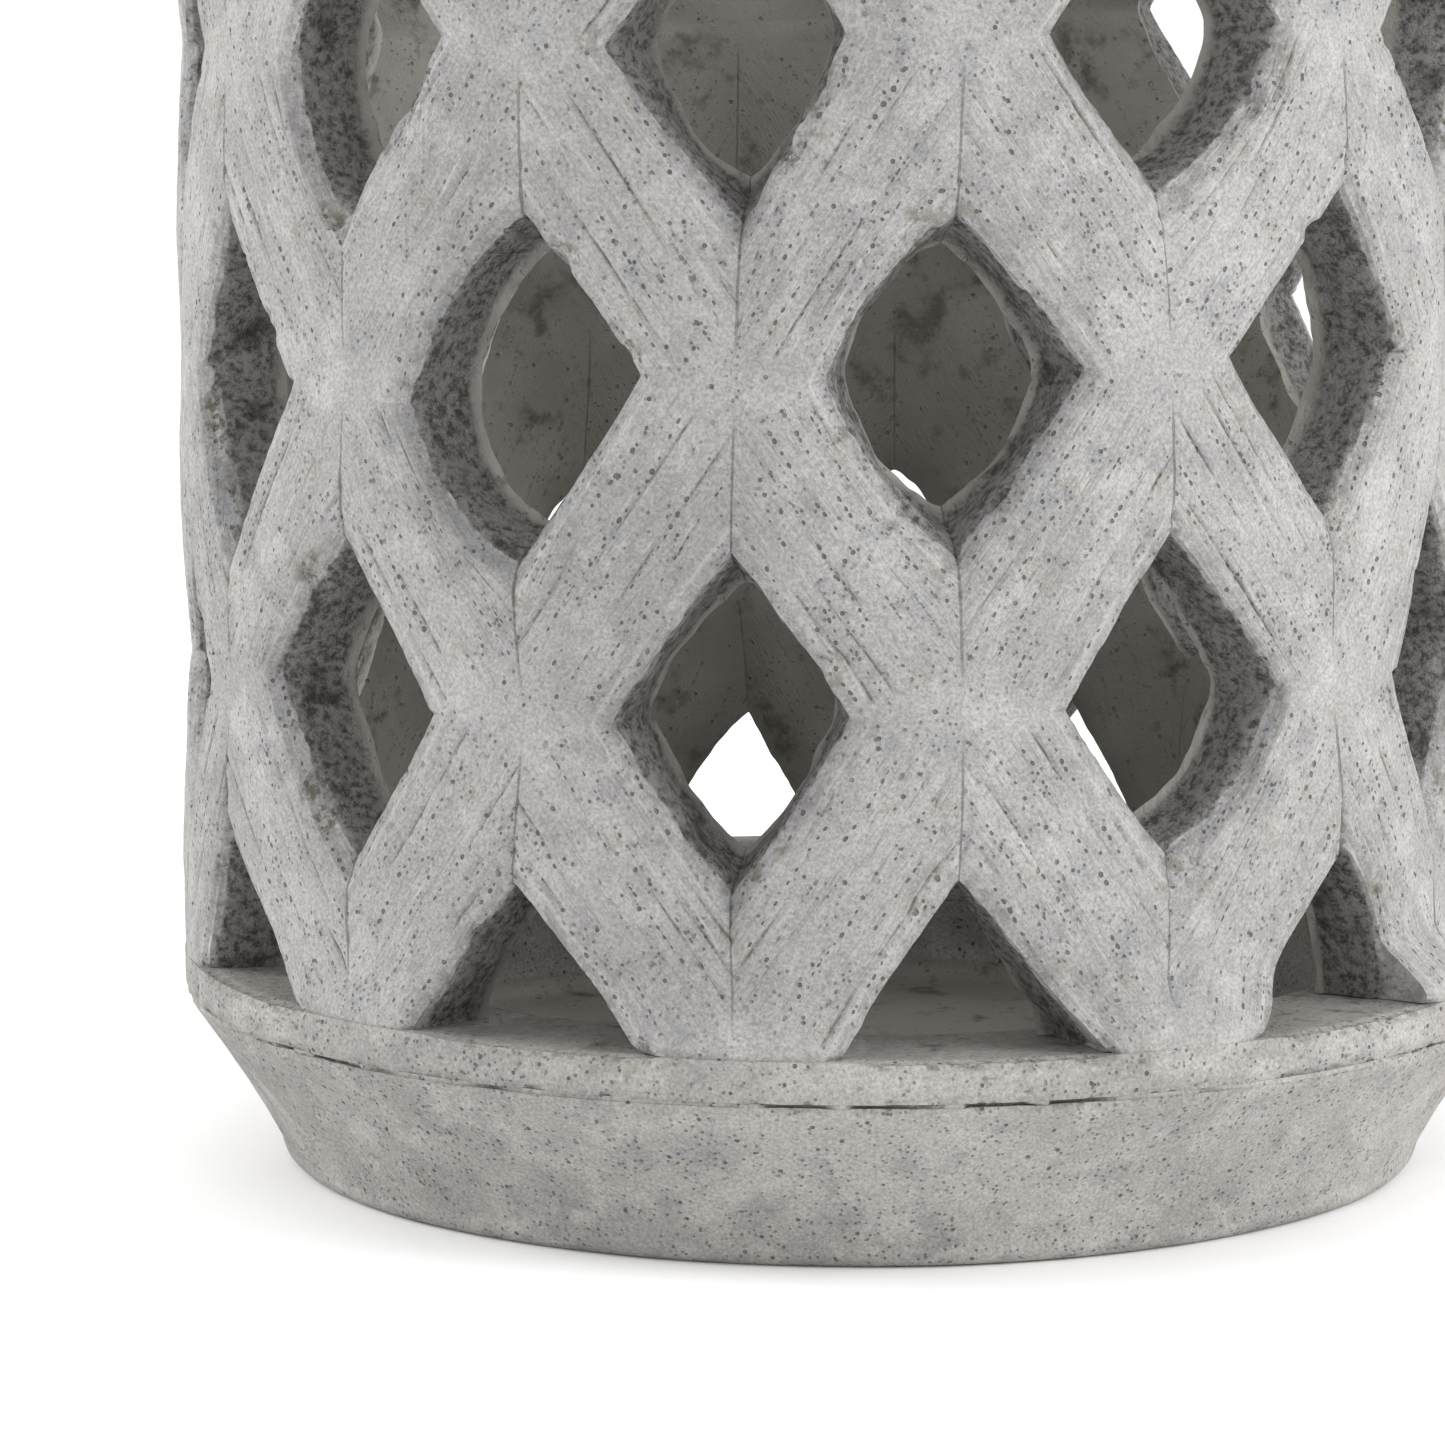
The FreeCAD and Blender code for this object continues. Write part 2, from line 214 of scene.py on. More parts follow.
def half_cell(row, half_column, upper, loop=LOOP):
    """Half of the stone round one opening: the part above the middle of the row, or the part below it.

    Returns the points and the values that the material reads at each: skin, marks, strand, tint and aged.
    loop gives the positions round the half: 0 at the right corner, 1 at the tip and 2 at the left corner.
    """
    face, position = [grid.ravel() for grid in np.meshgrid(FACE, loop, indexing="ij")]
    through = np.repeat(THROUGH, len(loop))
    side = np.where(position <= 1, 1.0, -1.0)
    share = np.where(position <= 1, position, 2 - position)
    sign = 1.0 if upper else -1.0
    off = HAND_MADE.get((row, half_column), {})
    pick = row * 40 + half_column + 100
    vary = [float(lattice_value(pick, number, 5, 11)) for number in range(4)]
    width_out = OPEN_WIDTH + np.where(side > 0, vary[0], vary[1])
    height_out = OPEN_HEIGHT + (vary[2] if upper else vary[3])
    arch = row == 0 and upper
    flare = through ** 0.85
    inner_width, inner_height = inner_size(row, half_column)
    width = width_out * (1 - flare) + inner_width * flare
    height = height_out * (1 - flare) + inner_height * flare
    half_width = width + face * (CELL_WIDTH - width)
    half_height = height + face * (PITCH - height)

    # a diamond with slightly bowed sides; more so inside
    power = 1 + (0.05 + (0.1 if arch else 0.24) * smooth(0.1, 0.9, through)) * (1 - face) ** 2
    lengthen = ((1 - share) ** power + share ** power) ** (-1 / power)
    across = side * half_width * (1 - share) * lengthen
    rise = half_height * share * lengthen
    centre = half_column * CELL_WIDTH
    level = LEVELS[row]
    spot = np.column_stack([across + centre, sign * rise + level, through * WALL])
    body = stone_point(*spot.T)

    # rough sides and a ragged inner edge: the opening swells and shrinks about its middle
    near = (1 - face) ** 3
    lumps = 0.105 * rough(body, 16, 31) * through ** 1.5
    swell = near * (0.026 * rough(body, 10, 21) * (0.5 + through) + lumps)
    on_edge = near * (1 - smooth(0.1, 0.45, through))
    chip = smooth(0.28, 0.6, rough(body, 12, 41)) * on_edge
    fray = rough(body, 4.5, 51)
    swell += 0.055 * chip + 0.014 * on_edge * fray + 0.01 * near * through * fray
    across *= 1 + swell
    rise *= 1 + swell

    # the face of the strap: crowned, with broken grooves and a soft bevel along the opening's lower sides
    lean = side * sign
    slope = math.atan2(PITCH, CELL_WIDTH)
    run = (spot[:, 0] * -lean * math.cos(slope) + spot[:, 1] * math.sin(slope))
    lane = (spot[:, 0] * math.sin(slope) + spot[:, 1] * lean * math.cos(slope))
    strand = np.column_stack([run / 3.5, lane, 40.0 * lean])
    on_face = 1 - smooth(0, 0.02, through)
    from_crossing = np.minimum(np.hypot(CELL_WIDTH - np.abs(across), rise), np.hypot(across, PITCH - rise))
    calm = smooth(3, 15, from_crossing) * smooth(0, 0.09, share)
    groove = np.zeros(len(face))
    for number, middle in enumerate(GROOVES):
        line = np.clip(1 - np.abs(face - middle) / (GROOVE_HALF * 1.05), 0, 1)
        broken = smooth(-0.15, 0.55, rough(strand, 9, 61 + number))
        groove = np.maximum(groove, line * broken * calm * on_face)
    crease = smooth(1.5, 0.2, np.abs(across)) * smooth(0.45, 0.15, face) * on_face
    crease *= smooth(0.72, 0.92, share) * smooth(-0.1, 0.5, rough(body, 4, 65))
    ridge = rough(np.column_stack([run / 9, lane, 40.0 * lean]), 4.2, 71, 2) * calm * on_face
    bevel = 0.45 * smooth(0.21, 0.0, face) if upper else np.clip(1 - face / 0.19, 0, 1)
    bevel = bevel * (1 + 0.3 * noise(body, 14, 75))
    depth = spot[:, 2] + (1.3 * (1 - face) ** 2 + 2.3 * bevel) * (1 - smooth(0, 0.3, through))
    depth += 0.55 * groove + 0.42 * ridge + 0.9 * crease
    inner_round = 5.0 * (1 - face) ** 2.5 * smooth(0.6, 1.0, through)
    depth -= inner_round
    depth += 0.8 * chip * on_face
    round_pit = pits(np.column_stack([run, lane + 90 * lean]), 4.4, 0.85, 1.2, 0.35, 91)
    hollow = round_pit * smooth(-0.2, 0.5, rough(body, 22, 95)) * on_face * smooth(0, 0.04, share)
    depth += 0.6 * hollow
    depth += on_face * (0.6 * noise(body, 38, 101) + 0.2 * rough(body, 6, 111))
    inside = smooth(0.7, 1.0, through)
    depth += inside * (2.4 * rough(body, 30, 121) + 0.5 * rough(body, 8, 131))

    # the hand-made whole: the rows wander and rise from left to right, but sit flat on the two plain rings
    side_off = np.where(side > 0, corner_move(off, "right"), corner_move(off, "left"))
    tip_off = corner_move(off, "top" if upper else "bottom")
    corner_off = (side_off * (1 - share) + tip_off * share) * (1 - face) * (1 - 0.4 * through)
    half = "upper" if upper else "lower"
    cut_back = np.where(side > 0, off.get(half + "_right", 0.0), off.get(half + "_left", 0.0))
    cut_back = cut_back * 4 * share * (1 - share) * (1 - face) * (1 - 0.4 * through)
    along = across + centre + corner_off[0] + side * cut_back * math.sin(slope)
    tall = sign * rise + level + corner_off[1] + sign * cut_back * math.cos(slope)
    free = smooth(LEVELS[0], LEVELS[0] + SWAY_FREE, tall)
    free = free * (1 - smooth(LEVELS[-1] - SWAY_FREE, LEVELS[-1], tall))
    map_spot = np.column_stack([np.sin(along / RADIUS) * RADIUS, -np.cos(along / RADIUS) * RADIUS, tall])
    along = along + 0.8 * noise(map_spot, 55, 141) * free
    tall = tall + free * (TILT * np.sin(along / RADIUS) + 0.8 * noise(map_spot, 60, 151))
    from_ring = np.minimum(tall - LEVELS[0], LEVELS[-1] - tall)
    near_base = tall - LEVELS[0] < LEVELS[-1] - tall
    out_to_ring = RIM - RADIUS - np.where(near_base, LEAN * np.sin(along / RADIUS), 0.0)
    depth -= out_to_ring * (1 - smooth(0, RING_MEETS, from_ring)) * on_face

    # leave room for the mortar bed
    tall = level + sign * BED / 2 + (tall - level) * (PITCH - BED) / PITCH
    # the material paints the grooves, creases and pits dark as painted shade, and the edges of the openings
    # darker, partly as wear and partly as painted shade
    values = {
        "skin": np.column_stack([along, tall, depth]),
        "marks": np.column_stack([np.maximum(groove, crease), chip + 0.6 * on_edge, hollow]),
        "strand": np.column_stack([run, lane, (lean + 1) / 2]),
        "tint": np.column_stack([calm, bevel * on_face, inside]),
        "aged": smooth(0.0, 0.12, through + 0.04 * fray * on_edge),
    }
    return shifted(stone_point(along, tall, depth), LEAN), values


def half_columns(row):
    """Where the ten openings of a row are, in half columns from the front."""
    first = 1 - COLUMNS + row % 2
    return range(first, first + 2 * COLUMNS, 2)


def join_points(keys, points):
    """Number the points so that those with one key count as one. Returns the numbers and the points kept."""
    _, first, number = np.unique(keys, axis=0, return_index=True, return_inverse=True)
    return number.ravel(), points[first]


def make_mesh(name, points, faces, corner_values, sharp=38):
    """A mesh object from points in millimetres, a list of faces and values for each corner of each face."""
    mesh = bpy.data.meshes.new(name)
    mesh.from_pydata((points * MM).tolist(), [], faces)
    for label, values in corner_values.items():
        kind, field = ("FLOAT", "value") if values.ndim == 1 else ("FLOAT_VECTOR", "vector")
        attribute = mesh.attributes.new(label, kind, "CORNER")
        attribute.data.foreach_set(field, values.ravel().astype(np.float32))
    mesh.validate(clean_customdata=False)
    mesh.shade_smooth()
    mesh.set_sharp_from_angle(angle=math.radians(sharp))
    piece = bpy.data.objects.new(name, mesh)
    bpy.context.scene.collection.objects.link(piece)
    return piece


def grid_faces(rows, columns, first, flip, closed=False):
    """Quads of a grid of points whose numbers start at first; closed joins the last column to the first."""
    across = columns if closed else columns - 1
    row, column = np.meshgrid(np.arange(rows - 1), np.arange(across), indexing="ij")
    row, column = row.ravel(), column.ravel()
    after = (column + 1) % columns
    quads = np.column_stack([row * columns + column, row * columns + after,
                             (row + 1) * columns + after, (row + 1) * columns + column])
    return first + (quads[:, ::-1] if flip else quads)


def seam_outline(cells, columns, upper):
    """The outline of each bed: the stations at one opening's right corner, then the next one's left."""
    stations = len(FACE)
    width = len(LOOP)
    for here, there in zip(columns, columns[1:] + columns[:1]):
        right = [cells[here] + station * width for station in range(stations)]
        left = [cells[there] + station * width + width - 1 for station in range(stations)]
        outline = right + left[-2:0:-1]
        yield outline if upper else outline[::-1]


def make_course(number):
    """One zigzag ring, from the middle of one row of openings to the middle of the next."""
    points, values, keys, quads, caps = [], [], [], [], []
    count = 0
    for row, upper in ((number - 1, True), (number, False)):
        cells = {}
        for half_column in half_columns(row):
            spots, marks = half_cell(row, half_column, upper)
            plain = np.zeros((len(spots), 3))
            face, loop = [grid.ravel() for grid in np.meshgrid(FACE, LOOP, indexing="ij")]
            inner = np.repeat(THROUGH, len(LOOP))
            edge = face == 1.0
            share = np.where(loop <= 1, loop, 2 - loop)
            around = half_column * CELL_WIDTH + np.where(loop <= 1, 1, -1) * CELL_WIDTH * (1 - share)
            shared = np.round(np.mod(around + 1e-6, 2 * COLUMNS * CELL_WIDTH), 2)
            height = np.round(LEVELS[row] + (1 if upper else -1) * PITCH * share, 2)
            plain[:, 0] = np.where(edge, shared, np.arange(len(face)) + count)
            plain[:, 1] = np.where(edge, height, -1)
            plain[:, 2] = np.where(edge, inner, 2)
            cells[half_column] = count
            points.append(spots)
            values.append(marks)
            keys.append(plain)
            quads.append(grid_faces(len(FACE), len(LOOP), count, not upper))
            count += len(spots)
        caps += list(seam_outline(cells, list(half_columns(row)), upper))
    points = np.vstack(points)
    number_of, kept = join_points(np.vstack(keys), points)
    quads = np.vstack(quads)
    corners = np.concatenate([quads.ravel(), np.concatenate(caps)])
    values = {label: np.concatenate([marks[label] for marks in values])[corners] for label in values[0]}
    faces = number_of[quads].tolist() + [number_of[np.array(cap)].tolist() for cap in caps]
    return make_mesh(f"lattice_ring_{number}", kept, faces, values)


def make_mortar(row):
    """The ten mortar patches of one level, flush with the stone above and below."""
    points, values, faces, caps = [], [], [], []
    stations = len(FACE)
    sides = {}
    for half_column in half_columns(row):
        for upper in (True, False):
            spots, marks = half_cell(row, half_column, upper, np.array([0.0, 2.0]))
            sides[half_column, upper] = spots.reshape(stations, 2, 3), marks
    columns = list(half_columns(row))
    count = 0
    for here, there in zip(columns, columns[1:] + columns[:1]):
        for upper in (False, True):
            for column, end in ((here, 0), (there, 1)):
                spots, marks = sides[column, upper]
                pick = np.arange(stations) if end == 0 else np.arange(stations - 2, 0, -1)
                points.append(spots[pick, end])
                values.append({label: mark.reshape(stations, 2, -1)[pick, end]
                               for label, mark in marks.items()})
        length = 2 * stations - 2
        faces.append(grid_faces(2, length, count, True, closed=True))
        caps.append(list(range(count, count + length)))
        caps.append(list(range(count + 2 * length - 1, count + length - 1, -1)))
        count += 2 * length
    faces = np.vstack(faces)
    corners = np.concatenate([faces.ravel(), np.concatenate(caps)])
    joined = {label: np.concatenate([part[label] for part in values])[corners] for label in values[0]}
    joined["aged"] = joined["aged"].ravel()
    return make_mesh(f"mortar_patches_{row}", np.vstack(points), faces.tolist() + caps, joined)


# ---------------------------------------------------------------- plain rings and foot

SEGMENTS = 900
TURNS = np.arange(SEGMENTS) * 2 * math.pi / SEGMENTS


def spread(start, end, step):
    """Points from start to end, about a step apart, without the last one."""
    start, end = np.array(start, float), np.array(end, float)
    count = max(1, round(float(np.linalg.norm(end - start)) / step))
    return [tuple(start + (end - start) * number / count) for number in range(count)]


def make_turned(name, profile, shape, cap=False, sideways=0.0):
    """A ring turned from a closed profile of (radius, height) points, then roughened by shape."""
    profile = np.array(profile)
    radius = np.repeat(profile[:, 0], SEGMENTS)
    height = np.repeat(profile[:, 1], SEGMENTS)
    turn = np.tile(TURNS, len(profile))
    body = np.column_stack([radius * np.sin(turn), -radius * np.cos(turn), height])
    radius, height, marks = shape(radius, height, turn, body)
    points = shifted(np.column_stack([radius * np.sin(turn), -radius * np.cos(turn), height]), sideways)
    faces = grid_faces(len(profile), SEGMENTS, 0, False, closed=True)
    loops = []
    if cap:
        loops = [list(range(SEGMENTS - 1, -1, -1)), list(range(len(points) - SEGMENTS, len(points)))]
    else:
        last = (len(profile) - 1) * SEGMENTS
        start = np.arange(SEGMENTS)
        after = (start + 1) % SEGMENTS
        faces = np.vstack([faces, np.column_stack([last + start, last + after, after, start])])
    corners = np.concatenate([faces.ravel()] + [np.array(loop) for loop in loops])
    values = {label: value[corners] for label, value in marks.items()}
    return make_mesh(name, points, faces.tolist() + loops, values, sharp=50)


def turned_marks(turn, height, radius, hollow, wear_and_shade, aged):
    """What the material needs on a turned piece, in the same form as on the lattice."""
    along = turn * RADIUS
    return {
        "skin": np.column_stack([along, height, radius]),
        "marks": np.column_stack([np.zeros(len(turn)), wear_and_shade, hollow]),
        "strand": np.column_stack([along, height, np.full(len(turn), 0.5)]),
        "tint": np.column_stack([np.zeros(len(turn)), np.zeros(len(turn)), aged]),
        "aged": aged,
    }


def under_opening(turn, row):
    """1 where an opening of this row is above or below, 0 at the crossings."""
    phase = np.cos(COLUMNS * turn) * (1 if row % 2 else -1)
    return smooth(-0.35, 0.1, phase)


def band_shape(row, up):
    """The shape of a plain ring that meets the lattice at one level; up is 1 when the lattice is above."""
    def shape(radius, height, turn, body):
        level = LEVELS[row] - up * BED / 2
        outside = smooth(RIM - 6, RIM - 1, radius)
        bare = under_opening(turn, row)
        edge = smooth(2.6, 0, np.abs(height - level)) * outside
        worn_and_shaded = edge * bare
        radius = radius - worn_and_shaded * (1.3 + 0.6 * rough(body, 9, 211))
        near_level = smooth(3.0, 0, np.abs(height - level))
        ledge = near_level * (1 - outside) * bare
        height = height - up * ledge * 0.35 * (1 + rough(body, 8, 221))
        height = height - up * worn_and_shaded * 0.8
        low = smooth(2.2, 0, np.abs(height - (level - up * cad_ring_height(row)))) * outside
        radius = radius - low * (0.55 + 0.8 * smooth(-0.1, 0.6, rough(body, 10, 231)))
        hollow = pits(np.column_stack([turn * RADIUS, height]), 3.6, 0.8, 1.3, 0.4, 241) * outside
        radius = radius - 0.6 * hollow + outside * (0.5 * noise(body, 40, 101) + 0.14 * rough(body, 5, 111))
        aged = np.maximum(0.6 * ledge, 0.9 * smooth(RING_INNER + 3, RING_INNER, radius))
        # the worn edge and the band's far edge are painted darker, partly as wear and partly as painted shade
        return radius, height, turned_marks(turn, height, radius, hollow, worn_and_shaded + 0.5 * low, aged)
    return shape


def cad_ring_height(row):
    low, high = cad_z("base_ring" if row == 0 else "top_ring")
    return high - low


def make_base_ring():
    low, high = cad_z("base_ring")
    profile = spread((RIM, low), (RIM, high), 0.75)
    profile += spread((RIM, high), (RIM - 5, high), 0.9)
    profile += spread((RIM - 5, high), (RING_INNER, high), 2.2)
    profile += spread((RING_INNER, high), (RING_INNER, low), 2.2)
    profile += spread((RING_INNER, low), (RIM, low), 5)
    return make_turned("base_band", profile, band_shape(0, 1))


def make_top_ring():
    low, high = cad_z("top_ring")
    profile = spread((RIM, low), (RIM, high - TOP_EDGE), 0.9)
    profile += [(RIM - TOP_EDGE * (1 - math.cos(a)), high - TOP_EDGE * (1 - math.sin(a)))
                for a in np.linspace(0, math.pi / 2, 9)[:-1]]
    profile += spread((RIM - TOP_EDGE, high), (RING_INNER + TOP_EDGE, high), 1.1)
    profile += [(RING_INNER + TOP_EDGE * (1 - math.sin(a)), high - TOP_EDGE * (1 - math.cos(a)))
                for a in np.linspace(0, math.pi / 2, 9)[:-1]]
    profile += spread((RING_INNER, high - TOP_EDGE), (RING_INNER, low), 1.8)
    profile += spread((RING_INNER, low), (RIM, low), 2.5)
    return make_turned("top_rim", profile, band_shape(COURSES, -1), sideways=LEAN)


def foot_radius(height):
    """Outside of the foot: steep at the ground, then flaring out to the band."""
    share = np.clip(height / cad_z("foot")[1], 0, 1)
    return FOOT_BOTTOM + (RIM - FOOT_BOTTOM) * share ** 1.2


# stretches of open seam under the band: middle and half length, in degrees
WASHED_OUT = ((13.0, 14.0), (-44.0, 4.0))


def open_seam(turn, body):
    """1 where the mortar under the band is washed out, 0 where it is flush."""
    scattered = smooth(-0.15, 0.45, rough(body, 24, 251))
    degrees = np.degrees(np.angle(np.exp(1j * turn)))
    for middle, reach in WASHED_OUT:
        scattered = np.maximum(scattered, smooth(reach + 3, reach - 2, np.abs(degrees - middle)))
    return scattered * smooth(-0.45, 0.15, rough(body, 6, 255))


def foot_shape(radius, height, turn, body):
    top = cad_z("foot")[1]
    outside = smooth(3.0, 0.5, np.abs(radius - foot_radius(height))) * smooth(-0.1, 0.6, height)
    edge = smooth(2.0, 0, top - height) * outside
    opened = open_seam(turn, body)
    radius = radius - edge * (0.4 + 1.4 * opened)
    hollow = pits(np.column_stack([turn * RADIUS + height, height]), 4.2, 0.8, 1.4, 0.35, 261)
    hollow *= smooth(-0.4, 0.4, rough(body, 25, 265)) * outside
    radius = radius - 0.6 * hollow + outside * (0.6 * noise(body, 45, 271) + 0.14 * rough(body, 5, 111))
    inside = smooth(RING_INNER + 1, RING_INNER - 3, radius)
    floor = smooth(1.5, 0, np.abs(height - FLOOR)) * inside
    height = height + floor * 0.5 * rough(body, 18, 281)
    # the edge cut back over the washed-out seam is painted darker as painted shade
    return radius, height, turned_marks(turn, height, radius, hollow, edge * opened, inside)


def make_foot():
    top = cad_z("foot")[1]
    lift = np.linspace(0, math.pi / 2, 8)
    profile = [(60.0, 0.0), (110.0, 0.0)]
    start = foot_radius(FOOT_EDGE) - FOOT_EDGE
    profile += [(start + FOOT_EDGE * math.sin(a), FOOT_EDGE * (1 - math.cos(a))) for a in lift[:-1]]
    heights = np.linspace(FOOT_EDGE, top, 42)
    profile += [(foot_radius(height), height) for height in heights]
    profile += spread((RIM, top), (RING_INNER, top), 4)[1:]
    profile += spread((RING_INNER, top), (RING_INNER, FLOOR + FLOOR_CORNER), 2)
    profile += [(RING_INNER - FLOOR_CORNER * (1 - math.cos(a)), FLOOR + FLOOR_CORNER * (1 - math.sin(a)))
                for a in lift[:-1]]
    profile += spread((RING_INNER - FLOOR_CORNER, FLOOR), (20, FLOOR), 2.5)
    profile += [(20.0, FLOOR)]
    return make_turned("foot_stone", profile, foot_shape, cap=True)


def bed_shape(radius, height, turn, body):
    """The mortar under the band: flush in places and washed out in others, a dark broken line, cut back and
    painted dark as painted shade where it is washed out.
    """
    outside = smooth(RIM - 4, RIM - 1, radius)
    opened = open_seam(turn, body)
    radius = radius - outside * (0.5 + 3.0 * opened)
    return radius, height, turned_marks(turn, height, radius, opened * outside, outside * opened, opened)


def make_foot_bed():
    low, high = cad_z("foot_mortar_bed")
    profile = spread((RIM, low), (RIM, high), 0.34)
    profile += spread((RIM, high), (RING_INNER, high), 3)
    profile += spread((RING_INNER, high), (RING_INNER, low), 0.5)
    profile += spread((RING_INNER, low), (RIM, low), 3)
    return make_turned("bedding_joint", profile, bed_shape)


# ---------------------------------------------------------------- materials

class Nodes:
    """A material's nodes, added one at a time from values, other nodes' outputs, or both."""

    def __init__(self, name):
        self.material = bpy.data.materials.new(name)
        self.material.use_nodes = True
        self.tree = self.material.node_tree
        self.shader = self.tree.nodes["Principled BSDF"]

    def put(self, socket, value):
        if isinstance(value, bpy.types.NodeSocket):
            self.tree.links.new(value, socket)
        else:
            socket.default_value = value

    def add(self, kind, output, inputs, **settings):
        node = self.tree.nodes.new(kind)
        for label, value in settings.items():
            setattr(node, label, value)
        for label, value in inputs.items():
            self.put(node.inputs[label], value)
        return node.outputs[output]

    def math(self, operation, first, second=0.0, clamp=False):
        return self.add("ShaderNodeMath", 0, {0: first, 1: second}, operation=operation, use_clamp=clamp)

    def noise(self, place, size, detail=3.0, roughness=0.55):
        """Noise from 0 to 1 with bumps of a size in metres."""
        return self.add("ShaderNodeTexNoise", "Fac", {
            "Vector": place, "Scale": 1 / size, "Detail": detail, "Roughness": roughness})

    def cells(self, place, size):
        """Distance to the nearest of scattered points about a size in metres apart."""
        return self.add("ShaderNodeTexVoronoi", "Distance", {
            "Vector": place, "Scale": 1 / size, "Randomness": 1.0})

    def ramp(self, value, low, high):
        """0 below low, 1 above high, smooth between; the other way round when high is less than low."""
        ends = (low, high, 0.0, 1.0) if low < high else (high, low, 1.0, 0.0)
        return self.add("ShaderNodeMapRange", 0, {
            "Value": value, "From Min": ends[0], "From Max": ends[1], "To Min": ends[2], "To Max": ends[3],
        }, interpolation_type="SMOOTHSTEP")

    def mix(self, share, first, second, blend="MIX"):
        node = self.tree.nodes.new("ShaderNodeMix")
        node.data_type = "RGBA"
        node.blend_type = blend
        self.put(node.inputs[0], share)
        self.put(node.inputs[6], first)
        self.put(node.inputs[7], second)
        return node.outputs[2]

    def attribute(self, label, output="Vector"):
        return self.add("ShaderNodeAttribute", output, {}, attribute_name=label)

    def split(self, vector):
        return self.add("ShaderNodeSeparateXYZ", slice(None), {0: vector})

    def times(self, first, second):
        return self.math("MULTIPLY", first, second)

    def clamped(self, value):
        return self.math("MINIMUM", value, 1.0)

    def scaled(self, place, scale):
        return self.add("ShaderNodeVectorMath", 0, {0: place, 1: scale}, operation="MULTIPLY")


def grey(level, warmth=0.0):
    """A grey whose red is raised and blue lowered by warmth."""
    return (level * (1 + warmth), level, level * (1 - 1.4 * warmth), 1.0)


